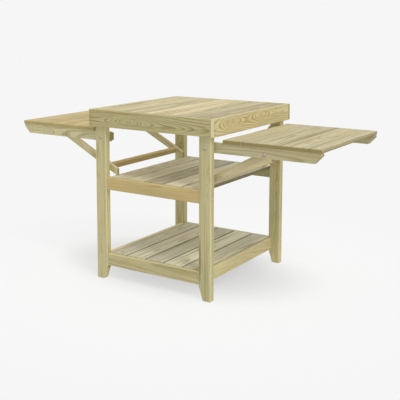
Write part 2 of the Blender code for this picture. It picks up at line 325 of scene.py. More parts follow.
class PineGroup:
    """The node group that all the boards share: growth rings cut through by each board.

    The rings lie round a pith that runs beside the board and leans a little to it, so
    that flat faces show arches, edges show straight lines and ends show arcs. Waves are
    counted a metre along, across and through the board. A rim is where a mark starts to
    show and where it shows in full.
    """

    VECTORS = ("Centre", "Along", "Across", "Half Size", "Pith", "Lean", "Seed", "Knot A", "Bend A",
               "Knot B", "Bend B")
    NUMBERS = ("Ring Spacing", "Ring Strength", "Warm Share", "Green Share", "Line Strength",
               "Edge Share", "Side Painted Shade", "Core A", "Core B")
    COLORS = ("Pale", "Dark", "Warm", "Green", "End Grain Painted Shading", "Edge")
    KNOT_COLOR: Color = (112, 78, 42)
    LONG_POINT = 1.4
    WIDE_POINT = 1.7
    WIDE_STRETCH = 1.5
    HEART_RIM = (0.12, 0.55)
    SWAY = 0.030
    SWAY_WAVES = (1.7, 8.0, 8.0)
    RIPPLE = 0.0022
    RIPPLE_WAVES = (15.0, 60.0, 60.0)
    LATE_WOOD = (0.42, 0.86)
    RING_STOP = (0.90, 1.0)
    LEAST_VIGOUR = 0.35
    OTHER_SEED = (31.0, 7.0, 13.0)
    STREAK_WAVES = (1.2, 24.0, 24.0)
    STREAK_RIM = (0.48, 0.68)
    STAIN_WAVES = (2.2, 13.0, 13.0)
    STAIN_RIM = (0.46, 0.70)
    LINE_WAVES = (0.9, 75.0, 75.0)
    DARK_LINE_RIM = (0.55, 0.68)
    PALE_LINE_RIM = (0.30, 0.42)
    PALE_LINE_SHARE = 0.35
    FIBRE_WAVES = (10.0, 380.0, 380.0)
    FIBRE_RIM = (0.45, 0.85)
    FIBRE_SHARE = 0.42
    SPECK_WAVES = (26.0, 170.0, 170.0)
    SPECK_RIM = (0.60, 0.78)
    SPECK_SHARE = 0.35
    ARRIS_WIDTH = 0.0035
    RAGGED_WIDTH = 0.004
    END_SOAK = 0.030
    SOAK_SHARE = 0.18
    END_SHARE = 0.85
    FACING_RIM = (0.6, 0.9)
    ROUGHNESS = 0.52
    FIBRE_ROUGHNESS = 0.22
    RING_ROUGHNESS = -0.08
    RING_HEIGHT = 0.00022
    FIBRE_HEIGHT = 0.00028
    HEART_HEIGHT = -0.0004

    def __init__(self) -> None:
        """Makes the group's interface and its nodes."""
        self.tree = bpy.data.node_groups.new("pine", "ShaderNodeTree")
        self.graph = Graph(self.tree)
        for names, kind in ((self.VECTORS, "NodeSocketVector"), (self.NUMBERS, "NodeSocketFloat"),
                            (self.COLORS, "NodeSocketColor")):
            for name in names:
                self.tree.interface.new_socket(name=name, in_out="INPUT", socket_type=kind)
        for name, kind in (("Color", "NodeSocketColor"), ("Roughness", "NodeSocketFloat"),
                           ("Height", "NodeSocketFloat")):
            self.tree.interface.new_socket(name=name, in_out="OUTPUT", socket_type=kind)
        self.given = self.graph.add("NodeGroupInput").outputs
        self.build()

    def reach(self, distance: Feed, stretch: Feed, power: float) -> bpy.types.NodeSocket:
        """Raises a distance, divided by a stretch and without its sign, to a power."""
        graph = self.graph
        return graph.math("POWER", graph.math("ABSOLUTE", graph.math("DIVIDE", distance, stretch)), power)

    def knot(self, letter: str, along: Feed, across: Feed) -> tuple[Feed, Feed]:
        """Bends the rings round a knot.

        Args:
            letter: which of the two knots.
            along: distance along the board.
            across: distance across it.

        Returns:
            What the knot adds to the ring radius, and how much of its heart shows.
        """
        graph = self.graph
        knot_along, knot_across, radius = graph.split(self.given["Knot " + letter])
        amount, stretch, heart_stretch = graph.split(self.given["Bend " + letter])
        far_along = graph.math("DIVIDE", graph.math("SUBTRACT", along, knot_along), radius)
        far_across = graph.math("DIVIDE", graph.math("SUBTRACT", across, knot_across), radius)
        reach = graph.math("ADD", self.reach(far_along, stretch, self.LONG_POINT),
                           self.reach(far_across, self.WIDE_STRETCH, self.WIDE_POINT))
        fall = graph.math("EXPONENT", graph.math("MULTIPLY", reach, -1.0))
        bend = graph.math("MULTIPLY", graph.math("MULTIPLY", fall, radius), amount)
        square = graph.math("ADD", self.reach(far_along, heart_stretch, 2.0),
                            self.reach(far_across, 1.0, 2.0))
        heart = graph.one_minus(graph.step(square, *self.HEART_RIM))
        return bend, graph.math("MULTIPLY", heart, self.given["Core " + letter])

    def build(self) -> None:
        """Adds the nodes that turn a place in the board into its colour and height."""
        graph, given = self.graph, self.given
        coordinates = graph.add("ShaderNodeTexCoord")
        relative = graph.vector("SUBTRACT", coordinates.outputs["Object"], given["Centre"])
        through_axis = graph.vector("CROSS_PRODUCT", given["Along"], given["Across"])
        along = graph.vector("DOT_PRODUCT", relative, given["Along"])
        across = graph.vector("DOT_PRODUCT", relative, given["Across"])
        through = graph.vector("DOT_PRODUCT", relative, through_axis)
        place, seed = graph.join(along, across, through), given["Seed"]

        drift = graph.add("ShaderNodeVectorMath", operation="SCALE")
        graph.feed(drift.inputs[0], given["Lean"])
        graph.feed(drift.inputs["Scale"], along)
        pith = graph.vector("ADD", given["Pith"], drift.outputs[0])
        flat = graph.vector("MULTIPLY", graph.vector("SUBTRACT", place, pith), (0.0, 1.0, 1.0))
        radius = graph.vector("LENGTH", flat)

        sway = graph.noise(place, self.SWAY_WAVES, seed, 2.0)
        ripple = graph.noise(place, self.RIPPLE_WAVES, seed, 2.0)
        radius = graph.math("MULTIPLY_ADD", sway, self.SWAY, radius)
        radius = graph.math("MULTIPLY_ADD", ripple, self.RIPPLE, radius)
        bend_a, heart_a = self.knot("A", along, across)
        bend_b, heart_b = self.knot("B", along, across)
        radius = graph.math("ADD", radius, graph.math("ADD", bend_a, bend_b))

        phase = graph.math("DIVIDE", radius, given["Ring Spacing"])
        part = graph.math("FRACT", phase)
        each_ring = graph.add("ShaderNodeTexWhiteNoise", noise_dimensions="1D")
        graph.feed(each_ring.inputs["W"], graph.math("FLOOR", phase))
        stopping = graph.one_minus(graph.step(part, *self.RING_STOP))
        late = graph.math("MULTIPLY", graph.step(part, *self.LATE_WOOD), stopping)
        vigour = graph.math("MULTIPLY_ADD", each_ring.outputs["Value"], 1 - self.LEAST_VIGOUR,
                            self.LEAST_VIGOUR)
        ring = graph.math("MULTIPLY", graph.math("MULTIPLY", late, vigour), given["Ring Strength"])

        color = graph.mix(ring, given["Pale"], given["Dark"])
        streak = graph.noise(place, self.STREAK_WAVES, seed, 3.0)
        warm = graph.math("MULTIPLY", graph.step(streak, *self.STREAK_RIM), given["Warm Share"])
        color = graph.mix(warm, color, graph.mix(ring, given["Warm"], given["Dark"]))
        other = graph.vector("ADD", seed, self.OTHER_SEED)
        stain = graph.noise(place, self.STAIN_WAVES, other, 3.0)
        green = graph.math("MULTIPLY", graph.step(stain, *self.STAIN_RIM), given["Green Share"])
        color = graph.mix(green, color, given["Green"])

        line = graph.noise(place, self.LINE_WAVES, other, 2.0)
        dark_line = graph.math("MULTIPLY", graph.step(line, *self.DARK_LINE_RIM), given["Line Strength"])
        color = graph.mix(dark_line, color, given["Dark"])
        pale_line = graph.one_minus(graph.step(line, *self.PALE_LINE_RIM))
        color = graph.mix(graph.math("MULTIPLY", pale_line, self.PALE_LINE_SHARE), color, given["Pale"])

        fibre = graph.noise(place, self.FIBRE_WAVES, seed, 2.0)
        speck = graph.noise(place, self.SPECK_WAVES, other, 2.0)
        thread = graph.math("MULTIPLY", graph.step(fibre, *self.FIBRE_RIM), self.FIBRE_SHARE)
        color = graph.mix(thread, color, given["Dark"])
        spotted = graph.math("MULTIPLY", graph.step(speck, *self.SPECK_RIM), self.SPECK_SHARE)
        color = graph.mix(spotted, color, given["Dark"])
        heart = graph.math("MINIMUM", graph.math("ADD", heart_a, heart_b), 1.0)
        color = graph.mix(heart, color, linear(self.KNOT_COLOR))

        reaches = zip(graph.split(given["Half Size"]), (along, across, through))
        to_end, to_side, to_face = [graph.math("SUBTRACT", half, graph.math("ABSOLUTE", far))
                                    for half, far in reaches]
        nearest = graph.math("MINIMUM", to_end, to_side)
        second = graph.math("MAXIMUM", nearest,
                            graph.math("MINIMUM", graph.math("MAXIMUM", to_end, to_side), to_face))
        # Painted light along each arris: the edge colour, a painted highlight on most boards and painted
        # shade on the slats, with a ragged inner rim.
        ragged = graph.math("MULTIPLY_ADD", speck, self.RAGGED_WIDTH,
                            graph.math("SUBTRACT", second, self.RAGGED_WIDTH / 2))
        painted_arris = graph.one_minus(graph.step(ragged, 0.0, self.ARRIS_WIDTH))
        color = graph.mix(graph.math("MULTIPLY", painted_arris, given["Edge Share"]), color, given["Edge"])
        soaked = graph.one_minus(graph.step(to_end, 0.0, self.END_SOAK))
        color = graph.mix(graph.math("MULTIPLY", soaked, self.SOAK_SHARE), color, given["Green"])
        # Side faces take the edge colour as painted gap shade on the slats; end faces take the end grain
        # colour, which carries painted light and shade.
        for axis, share, shown in (("Across", given["Side Painted Shade"], "Edge"),
                                   ("Along", self.END_SHARE, "End Grain Painted Shading")):
            facing = graph.vector("DOT_PRODUCT", coordinates.outputs["Normal"], given[axis])
            turned = graph.step(graph.math("ABSOLUTE", facing), *self.FACING_RIM)
            color = graph.mix(graph.math("MULTIPLY", turned, share), color, given[shown])

        result = graph.add("NodeGroupOutput").inputs
        graph.feed(result["Color"], color)
        rough = graph.math("MULTIPLY_ADD", fibre, self.FIBRE_ROUGHNESS, self.ROUGHNESS)
        graph.feed(result["Roughness"], graph.math("MULTIPLY_ADD", ring, self.RING_ROUGHNESS, rough))
        raised = graph.math("MULTIPLY", ring, self.RING_HEIGHT)
        raised = graph.math("MULTIPLY_ADD", fibre, self.FIBRE_HEIGHT, raised)
        graph.feed(result["Height"], graph.math("MULTIPLY_ADD", heart, self.HEART_HEIGHT, raised))


@dataclass
class Board:
    """A board's own axes, middle and half sizes, read from its solid."""

    node: str
    lie: Lie = Lie.SQUARE
    axes: list[Vector] = field(default_factory=list)
    centre: Vector = field(default_factory=Vector)
    half: Vector = field(default_factory=Vector)

    def __post_init__(self) -> None:
        """Finds the axes, then measures the solid along them."""
        points = [vertex.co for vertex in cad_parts[self.node].data.vertices]
        self.axes = self.sloping_axes(points) if self.lie is Lie.SLOPING else self.square_axes()
        spans = []
        for axis in self.axes:
            places = [point.dot(axis) for point in points]
            spans.append((min(places), max(places)))
        self.half = Vector([(high - low) / 2 for low, high in spans])
        for axis, (low, high) in zip(self.axes, spans):
            self.centre = self.centre + axis * (low + high) / 2

    def square_axes(self) -> list[Vector]:
        """Orders X, Y and Z from the board's longest side to its shortest."""
        low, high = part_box(self.node)
        order = sorted(range(3), key=lambda index: low[index] - high[index])
        return [Vector([float(index == number) for number in range(3)]) for index in order]

    @staticmethod
    def sloping_axes(points: list[Vector]) -> list[Vector]:
        """Finds the slope of a board that leans in the XZ plane.

        Args:
            points: the corners of its solid.

        Returns:
            Unit vectors along it, across it and through it.
        """
        middle = sum(points, Vector()) / len(points)
        spread_x = sum((point.x - middle.x) ** 2 for point in points)
        spread_z = sum((point.z - middle.z) ** 2 for point in points)
        shared = sum((point.x - middle.x) * (point.z - middle.z) for point in points)
        slope = math.atan2(2 * shared, spread_x - spread_z) / 2
        along = Vector((math.cos(slope), 0, math.sin(slope)))
        return [along, Vector((-along.z, 0, along.x)), Vector((0, 1, 0))]


class Joiner:
    """Gives the boards and the metal their materials."""

    PITH_SPREAD = 0.45
    PITH_DEPTH = (0.022, 0.085)
    SIDE_LEAN = 0.03
    DEEP_LEAN = 0.045
    SEED_SPREAD = 40
    SPACING_SPREAD = (0.85, 1.3)
    STRENGTH_SPREAD = (0.8, 1.15)
    STAIN_SPREAD = (0.4, 1.4)
    LINE_SPREAD = (0.7, 1.2)
    SPECULAR = 0.25
    BUMP_STRENGTH = 0.8
    RECESS_ROUGHNESS = 0.8
    RECESS_WAVES = (400.0, 400.0, 400.0)
    RECESS_GRIME = 1.6

    def __init__(self) -> None:
        """Makes the shared pine group and the metal materials."""
        self.pine = PineGroup()
        self.zinc = self.make_zinc("zinc", ZINC)
        self.recess = self.make_plain("screw_recess_painted_shade", PAINTED_RECESS_SHADE)

    @staticmethod
    def start(name: str) -> tuple[bpy.types.Material, Graph, bpy.types.Node]:
        """Starts a material and gives it, its graph and its shader."""
        material = bpy.data.materials.new(name)
        material.use_nodes = True
        return material, Graph(material.node_tree), material.node_tree.nodes["Principled BSDF"]

    def dress(self, node: str, finish: Pine, lie: Lie = Lie.SQUARE, knots: tuple[Knot, ...] = (),
              shade: float = 1.0, cut: Optional[Cut] = None) -> None:
        """Gives one board its own cut of pine.

        Args:
            node: the board's node.
            finish: its colours and grain.
            lie: how it lies.
            knots: up to two knots to place on it.
            shade: how light it is beside the finish, which for some legs and the front apron is painted
                light and shade.
            cut: where its pith runs, or None to leave that to chance.
        """
        board = Board(node, lie)
        chance = random.Random(node)
        shade *= 1 + chance.uniform(-finish.shade_spread, finish.shade_spread)
        material, graph, shader = self.start("pine_" + node)
        group = graph.add("ShaderNodeGroup", node_tree=self.pine.tree)
        turn = chance.choice((-1, 1))
        width = 2 * board.half.y
        pith_across = chance.uniform(-self.PITH_SPREAD, self.PITH_SPREAD) * width
        pith_depth = turn * chance.uniform(*self.PITH_DEPTH)
        side_lean = chance.uniform(-self.SIDE_LEAN, self.SIDE_LEAN)
        deep_lean = chance.uniform(-self.DEEP_LEAN, self.DEEP_LEAN)
        first, second = (*knots, NO_KNOT, NO_KNOT)[:2]
        values = {
            "Centre": board.centre, "Along": board.axes[0], "Across": board.axes[1],
            "Half Size": board.half,
            "Pith": (0.0, pith_across, pith_depth),
            "Lean": (0.0, side_lean, deep_lean),
            "Seed": [chance.uniform(0, self.SEED_SPREAD) for _ in range(3)],
            "Ring Spacing": finish.ring_spacing * chance.uniform(*self.SPACING_SPREAD),
            "Ring Strength": finish.ring_strength * chance.uniform(*self.STRENGTH_SPREAD),
            "Warm Share": finish.warm_share * chance.uniform(*self.STAIN_SPREAD),
            "Green Share": finish.green_share * chance.uniform(*self.STAIN_SPREAD),
            "Pale": linear(shaded(finish.pale, shade)), "Dark": linear(shaded(finish.dark, shade)),
            "Warm": linear(shaded(finish.warm, shade)), "Green": linear(shaded(finish.green, shade)),
            "End Grain Painted Shading": linear(finish.end_grain_painted_shading),
            "Line Strength": finish.line_strength * chance.uniform(*self.LINE_SPREAD),
            "Edge": linear(shaded(finish.edge, shade)), "Edge Share": finish.edge_share,
            "Side Painted Shade": finish.side_painted_shade,
        }
        if cut is not None:
            values["Pith"] = (0.0, cut.across, cut.depth)
            values["Lean"] = (0.0, 0.0, cut.rise)
            values["Ring Spacing"] = cut.spacing
        for letter, knot in (("A", first), ("B", second)):
            values["Knot " + letter] = (knot.along, knot.across, knot.radius)
            values["Bend " + letter] = (knot.bend, knot.stretch, knot.heart_stretch)
            values["Core " + letter] = knot.core
        for name, value in values.items():
            group.inputs[name].default_value = value
        shader.inputs["Specular IOR Level"].default_value = self.SPECULAR
        bump = graph.add("ShaderNodeBump")
        bump.inputs["Strength"].default_value = self.BUMP_STRENGTH
        bump.inputs["Distance"].default_value = 1.0
        graph.feed(bump.inputs["Height"], group.outputs["Height"])
        graph.feed(shader.inputs["Base Color"], group.outputs["Color"])
        graph.feed(shader.inputs["Roughness"], group.outputs["Roughness"])
        graph.feed(shader.inputs["Normal"], bump.outputs["Normal"])
        self.paint(node, material)

    @staticmethod
    def paint(node: str, material: bpy.types.Material) -> None:
        """Puts a material on a solid's node."""
        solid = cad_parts[node]
        if not solid.material_slots:
            solid.data.materials.append(material)
        for place in solid.material_slots:
            place.material = material

    def make_zinc(self, name: str, finish: Zinc) -> bpy.types.Material:
        """Makes zinc plating, with the faint patches that its crystals leave.

        Args:
            name: the material's name.
            finish: its colours and patches.

        Returns:
            The material.
        """
        material, graph, shader = self.start(name)
        place = graph.add("ShaderNodeTexCoord").outputs["Object"]
        patches = graph.add("ShaderNodeTexVoronoi")
        patches.inputs["Scale"].default_value = finish.patch_scale
        graph.feed(patches.inputs["Vector"], place)
        grime = graph.noise(place, finish.grime_waves, (3.0, 1.0, 4.0), 3.0)
        share = graph.math("MULTIPLY", graph.math("ADD", patches.outputs["Distance"], grime), 0.5)
        shader.inputs["Metallic"].default_value = finish.metallic
        graph.feed(shader.inputs["Base Color"], graph.mix(share, linear(finish.pale), linear(finish.dull)))
        rough = graph.math("MULTIPLY_ADD", grime, finish.grime_roughness, finish.roughness)
        graph.feed(shader.inputs["Roughness"], rough)
        return material

    def make_plain(self, name: str, color: Color) -> bpy.types.Material:
        """Makes the painted shade of a screw's recess, a dark colour with a little grime in it.

        Args:
            name: the material's name.
            color: its colour.

        Returns:
            The material.
        """
        material, graph, shader = self.start(name)
        place = graph.add("ShaderNodeTexCoord").outputs["Object"]
        grime = graph.noise(place, self.RECESS_WAVES, (1.0, 2.0, 3.0), 2.0)
        shader.inputs["Roughness"].default_value = self.RECESS_ROUGHNESS
        graph.feed(shader.inputs["Base Color"],
                   graph.mix(grime, linear(color), linear(shaded(color, self.RECESS_GRIME))))
        return material


@dataclass(frozen=True)
class Fastening:
    """Where a nail or screw is driven, and the way that its head faces."""

    place: tuple[float, float, float]
    facing: tuple[float, float, float]


class FastenerMaker:
    """Sets the heads of nails and screws on the wood with Geometry Nodes."""

    HEAD_SIDES = 20
    TWIST_SEED = 11
    NAIL_RIM = 0.72
    SCREW_RIM = 0.9
    CROSS_LENGTH = 1.15
    CROSS_WIDTH = 0.26

    def __init__(self, shape: HeadShape) -> None:
        """Builds the tree for one shape of head.

        Args:
            shape: what each fastener shows.
        """
        self.shape = shape
        self.tree = bpy.data.node_groups.new(shape.value + "_heads", "GeometryNodeTree")
        self.graph = Graph(self.tree)
        interface = self.tree.interface
        for name, kind in (("Geometry", "NodeSocketGeometry"), ("Head Radius", "NodeSocketFloat"),
                           ("Head Height", "NodeSocketFloat"), ("Finish", "NodeSocketMaterial")):
            interface.new_socket(name=name, in_out="INPUT", socket_type=kind)
        interface.new_socket(name="Geometry", in_out="OUTPUT", socket_type="NodeSocketGeometry")
        self.given = self.graph.add("NodeGroupInput").outputs
        self.build()

    def head(self) -> bpy.types.NodeSocket:
        """Makes one head, standing on its Z axis, and returns its geometry."""
        graph, given = self.graph, self.given
        if self.shape is HeadShape.RECESS:
            return self.cross()
        node = graph.add("GeometryNodeMeshCone")
        node.inputs["Vertices"].default_value = self.HEAD_SIDES
        rim_share = self.NAIL_RIM if self.shape is HeadShape.NAIL else self.SCREW_RIM
        graph.feed(node.inputs["Radius Bottom"], given["Head Radius"])
        graph.feed(node.inputs["Radius Top"], graph.math("MULTIPLY", given["Head Radius"], rim_share))
        graph.feed(node.inputs["Depth"], given["Head Height"])
        return node.outputs["Mesh"]

    def cross(self) -> bpy.types.NodeSocket:
        """Makes the cross of a screw's recess from two bars and returns its geometry."""
        graph, given = self.graph, self.given
        both = graph.add("GeometryNodeJoinGeometry")
        long_side = graph.math("MULTIPLY", given["Head Radius"], self.CROSS_LENGTH)
        short_side = graph.math("MULTIPLY", given["Head Radius"], self.CROSS_WIDTH)
        for sides in ((long_side, short_side), (short_side, long_side)):
            bar = graph.add("GeometryNodeMeshCube")
            graph.feed(bar.inputs["Size"], graph.join(*sides, given["Head Height"]))
            graph.feed(both.inputs[0], bar.outputs["Mesh"])
        return both.outputs[0]

    def build(self) -> None:
        """Adds the nodes that set a head on each point and turn it to face out."""
        graph, given = self.graph, self.given
        facing = graph.add("GeometryNodeInputNamedAttribute", data_type="FLOAT_VECTOR")
        facing.inputs["Name"].default_value = "facing"
        outward = graph.add("FunctionNodeAlignRotationToVector", axis="Z")
        graph.feed(outward.inputs["Vector"], facing.outputs["Attribute"])
        twist = graph.add("FunctionNodeRandomValue", data_type="FLOAT")
        twist.inputs["Seed"].default_value = self.TWIST_SEED
        turn = graph.add("FunctionNodeAxisAngleToRotation")
        turn.inputs["Axis"].default_value = (0, 0, 1)
        graph.feed(turn.inputs["Angle"], graph.math("MULTIPLY", twist.outputs[1], math.pi))
        turned = graph.add("FunctionNodeRotateRotation", rotation_space="LOCAL")
        graph.feed(turned.inputs["Rotation"], outward.outputs["Rotation"])
        graph.feed(turned.inputs["Rotate By"], turn.outputs["Rotation"])
        heads = graph.add("GeometryNodeInstanceOnPoints")
        graph.feed(heads.inputs["Points"], given["Geometry"])
        graph.feed(heads.inputs["Instance"], self.head())
        graph.feed(heads.inputs["Rotation"], turned.outputs["Rotation"])
        real = graph.add("GeometryNodeRealizeInstances")
        graph.feed(real.inputs[0], heads.outputs["Instances"])
        finish = graph.add("GeometryNodeSetMaterial")
        graph.feed(finish.inputs["Geometry"], real.outputs[0])
        graph.feed(finish.inputs["Material"], given["Finish"])
        graph.feed(graph.add("NodeGroupOutput").inputs[0], finish.outputs[0])

    def make(self, name: str, body: str, driven: list[Fastening], radius: float, height: float,
             finish: bpy.types.Material) -> None:
        """Makes one piece that holds the heads of one body.

        Args:
            name: the piece's name.
            body: the body that it rides on.
            driven: where the fasteners are.
            radius: size of a head.
            height: height of a head, half of it sunk.
            finish: the heads' material.
        """
        points = bpy.data.meshes.new(name + "_points")
        points.from_pydata([fastening.place for fastening in driven], [], [])
        facing = points.attributes.new("facing", "FLOAT_VECTOR", "POINT")
        for item, fastening in zip(facing.data, driven):
            item.vector = fastening.facing
        seed = add_object(name + "_points", points)
        modifier = seed.modifiers.new("heads", "NODES")
        modifier.node_group = self.tree
        chosen = {"Head Radius": radius, "Head Height": height, "Finish": finish}
        for item in self.tree.interface.items_tree:
            if item.item_type == "SOCKET" and item.in_out == "INPUT" and item.name in chosen:
                modifier[item.identifier] = chosen[item.name]
        graph_now = bpy.context.evaluated_depsgraph_get()
        mesh = bpy.data.meshes.new_from_object(seed.evaluated_get(graph_now), depsgraph=graph_now)
        bpy.data.objects.remove(seed, do_unlink=True)
        piece = add_object(name, mesh)
        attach(piece, body)
        LOG.info("%s: %d heads on %s", name, len(driven), body)


@dataclass
class Deck:
    """The deck boards and the four aprons round them."""

    board_count: int = 7
    shades: tuple[float, ...] = (0.98, 1.03, 0.97, 1.05, 0.98, 0.93, 0.86)
    aprons: dict[str, tuple[Pine, Cut, tuple[Knot, ...]]] = field(default_factory=lambda: {
        "apron_front": (APRON_PINE, Cut(-0.008, 0.055, 0.03, 0.0072),
                        (eye(-0.112, -0.009, 0.026, 1.9, 4.2), eye(0.16, -0.016, 0.014, 1.0, 9.0))),
        "apron_right": (SIDE_APRON_PINE, Cut(0.010, 0.050, -0.06, 0.0078),
                        (eye(-0.212, 0.016, 0.026, 2.1, 2.6), eye(0.10, 0.026, 0.022, 1.8, 4.0))),
        "apron_back": (APRON_PINE, Cut(0.010, 0.040, 0.04), (Knot(0.14, 0.010, 0.011, 0.8),)),
        "apron_left": (APRON_PINE, Cut(-0.020, 0.030, -0.04), (eye(-0.12, -0.012, 0.016),)),
    })
    # Painted shade: the whole front apron is darkened a little to stand in for shade on its front face.
    apron_painted_shade: dict[str, float] = field(default_factory=lambda: {"apron_front": 0.955})
    nails_in_corner: int = 4
    nail_margin: float = 0.016
    apron_thick: float = 0.018

    def dress(self, joiner: Joiner) -> None:
        """Gives the boards and the aprons their pine, with the knots that show."""
        for number in range(self.board_count):
            node = "deck_board_%d" % (number + 1)
            joiner.dress(node, DECK_PINE, shade=self.shades[number])
        for node, (finish, cut, knots) in self.aprons.items():
            joiner.dress(node, finish, knots=knots, cut=cut, shade=self.apron_painted_shade.get(node, 1.0))
        LOG.info("deck dressed: %d boards and %d aprons", self.board_count, len(self.aprons))

    def nails(self) -> list[Fastening]:
        """Places a column of nails where each apron covers the end of the next."""
        driven = []
        for turn, name in enumerate(("front", "right", "back", "left")):
            low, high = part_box("apron_" + name)
            step = (high.z - low.z - 2 * self.nail_margin) / (self.nails_in_corner - 1)
            quarters = Matrix.Rotation(turn * math.pi / 2, 3, "Z")
            outward, start = quarters @ Vector((0, -1, 0)), quarters @ Vector((-1, 0, 0))
            reach = [max(abs(low[index]), abs(high[index])) for index in range(2)]
            inset = self.apron_thick / 2
            for number in range(self.nails_in_corner):
                place = Vector((0, 0, low.z + self.nail_margin + number * step))
                for index in range(2):
                    place[index] = outward[index] * reach[index] + start[index] * (reach[index] - inset)
                driven.append(Fastening(tuple(place), tuple(outward)))
        return driven


@dataclass
class Legs:
    """The four legs and the screws that hold the rails between them."""

    screw_spread: float = 0.026
    # Painted light and shade on the legs: the front right leg is darkened to stand in for the shadow under
    # the apron, and the front left and back right legs are lightened as painted light.
    shades: dict[str, float] = field(default_factory=lambda: {
        "leg_front_right": 0.95, "leg_front_left": 1.02, "leg_back_right": 1.05,
    })
    tall_knots: dict[str, tuple[Knot, ...]] = field(default_factory=lambda: {
        "leg_front_right": (Knot(-0.240, -0.027, 0.012, 0.5, -0.8, 12.0, 15.0), eye(0.12, 0.008, 0.010)),
        "leg_front_left": (eye(0.05, -0.010, 0.009),),
        "leg_back_right": (Knot(-0.155, 0.012, 0.0045, 0.8),),
        "leg_back_left": (Knot(0.16, 0.0, 0.009, 0.6),),
    })

    def dress(self, joiner: Joiner) -> None:
        """Gives each leg its pine."""
        for end in ENDS:
            for side in SIDES:
                node = "leg_%s_%s" % (end, side)
                joiner.dress(node, LEG_PINE, knots=self.tall_knots.get(node, ()),
                             shade=self.shades.get(node, 1.0))
        LOG.info("legs dressed")

    def screws(self) -> list[Fastening]:
        """Places pairs of screws where a leg meets the end of a rail."""
        driven = []
        for end, end_sign in ENDS.items():
            for side, side_sign in SIDES.items():
                low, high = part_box("leg_%s_%s" % (end, side))
                side_face = high.x if side_sign > 0 else low.x
                end_face = high.y if end_sign > 0 else low.y
                for shelf in ("middle_shelf", "lower_shelf"):
                    rail_low, rail_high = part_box("%s_rail_%s" % (shelf, end))
                    y = (rail_low.y + rail_high.y) / 2
                    for z in self.pair(rail_low.z, rail_high.z):
                        driven.append(Fastening((side_face, y, z), (side_sign, 0, 0)))
                rail_low, rail_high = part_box("lower_shelf_rail_" + side)
                x = (rail_low.x + rail_high.x) / 2
                for z in self.pair(rail_low.z, rail_high.z):
                    driven.append(Fastening((x, end_face, z), (0, end_sign, 0)))
        return driven

    def pair(self, low: float, high: float) -> tuple[float, float]:
        """Gives the heights of two screws about the middle of a rail."""
        middle = (low + high) / 2
        return middle - self.screw_spread / 2, middle + self.screw_spread / 2


@dataclass
class Shelf:
    """One shelf: its slats, and the rails that carry them."""

    name: str
    rails: dict[str, Pine]
    slat_count: int = 5
    shades: tuple[float, ...] = (0.98, 1.02, 0.96, 1.03, 1.0)

    def dress(self, joiner: Joiner) -> None:
        """Gives the slats and the rails their pine."""
        for number in range(self.slat_count):
            node = "%s_slat_%d" % (self.name, number + 1)
            joiner.dress(node, SHELF_PINE, shade=self.shades[number])
        for rail, finish in self.rails.items():
            joiner.dress("%s_rail_%s" % (self.name, rail), finish)
        LOG.info("%s dressed: %d slats and %d rails", self.name, self.slat_count, len(self.rails))


@dataclass
class Leaf:
    """One folding side leaf with the brace under it."""

    side: str
    slat_finish: Pine
    arm_shade: float = 1.0
    crossbar_finish: Pine = BRACE_PINE
    arm_knots: dict[str, tuple[Knot, ...]] = field(default_factory=lambda: {
        "left_leaf_arm_front": (eye(-0.270, 0.004, 0.013, 1.8, 2.2), eye(-0.130, -0.006, 0.013, 1.8, 2.4)),
    })
    slat_count: int = 5
    nail_from_edge: float = 0.022
    nail_in_arm: float = 0.011

    def dress(self, joiner: Joiner) -> None:
        """Gives the slats, arms, struts and crossbar their pine."""
        for number in range(self.slat_count):
            joiner.dress("%s_leaf_slat_%d" % (self.side, number + 1), self.slat_finish)
        for end in ENDS:
            node = "%s_leaf_arm_%s" % (self.side, end)
            joiner.dress(node, ARM_PINE, knots=self.arm_knots.get(node, ()), shade=self.arm_shade)
            joiner.dress("%s_brace_strut_%s" % (self.side, end), BRACE_PINE, Lie.SLOPING)
        joiner.dress(self.side + "_brace_crossbar", self.crossbar_finish)
        LOG.info("%s leaf dressed", self.side)

    def nails(self) -> list[Fastening]:
        """Places two nails where each slat crosses each arm."""
        driven = []
        for end, end_sign in ENDS.items():
            arm_low, arm_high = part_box("%s_leaf_arm_%s" % (self.side, end))
            edge = arm_high.y if end_sign > 0 else arm_low.y
            y = edge - end_sign * self.nail_in_arm
            for number in range(self.slat_count):
                low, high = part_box("%s_leaf_slat_%d" % (self.side, number + 1))
                for x in (low.x + self.nail_from_edge, high.x - self.nail_from_edge):
                    driven.append(Fastening((x, y, high.z), (0, 0, 1)))
        return driven


@dataclass
class Hardware:
    """The coach bolts, and the nails and screws that show on the wood."""

    nail_radius: float = 0.0021
    nail_height: float = 0.0009
    screw_radius: float = 0.0040
    screw_height: float = 0.0010
    recess_height: float = 0.0013

    def dress(self, joiner: Joiner) -> None:
        """Gives every bolt its zinc."""
        for kind in ("leaf_bolt", "brace_bolt"):
            for end in ENDS:
                for side in SIDES:
                    joiner.paint("%s_%s_%s" % (kind, end, side), joiner.zinc)
        LOG.info("bolts dressed")

    def drive(self, joiner: Joiner, deck: Deck, legs: Legs, leaves: list[Leaf]) -> None:
        """Sets all the nail and screw heads.

        Args:
            joiner: holds the metal materials.
            deck: where the apron nails go.
            legs: where the rail screws go.
            leaves: where the slat nails go.
        """
        nails = FastenerMaker(HeadShape.NAIL)
        # The apron nail heads take the same dark colour as the painted recess shade.
        nails.make("apron_nails", "root", deck.nails(), self.nail_radius, self.nail_height, joiner.recess)
        for leaf in leaves:
            nails.make(leaf.side + "_leaf_nails", leaf.side + "_leaf", leaf.nails(),
                       self.nail_radius, self.nail_height, joiner.zinc)
        screws = legs.screws()
        FastenerMaker(HeadShape.SCREW).make("leg_screws", "root", screws, self.screw_radius,
                                            self.screw_height, joiner.zinc)
        # The recesses are raised dark crosses coloured with painted shade, where the real recess is a
        # shadowed hollow.
        FastenerMaker(HeadShape.RECESS).make("leg_screw_recesses", "root", screws, self.screw_radius,
                                             self.recess_height, joiner.recess)


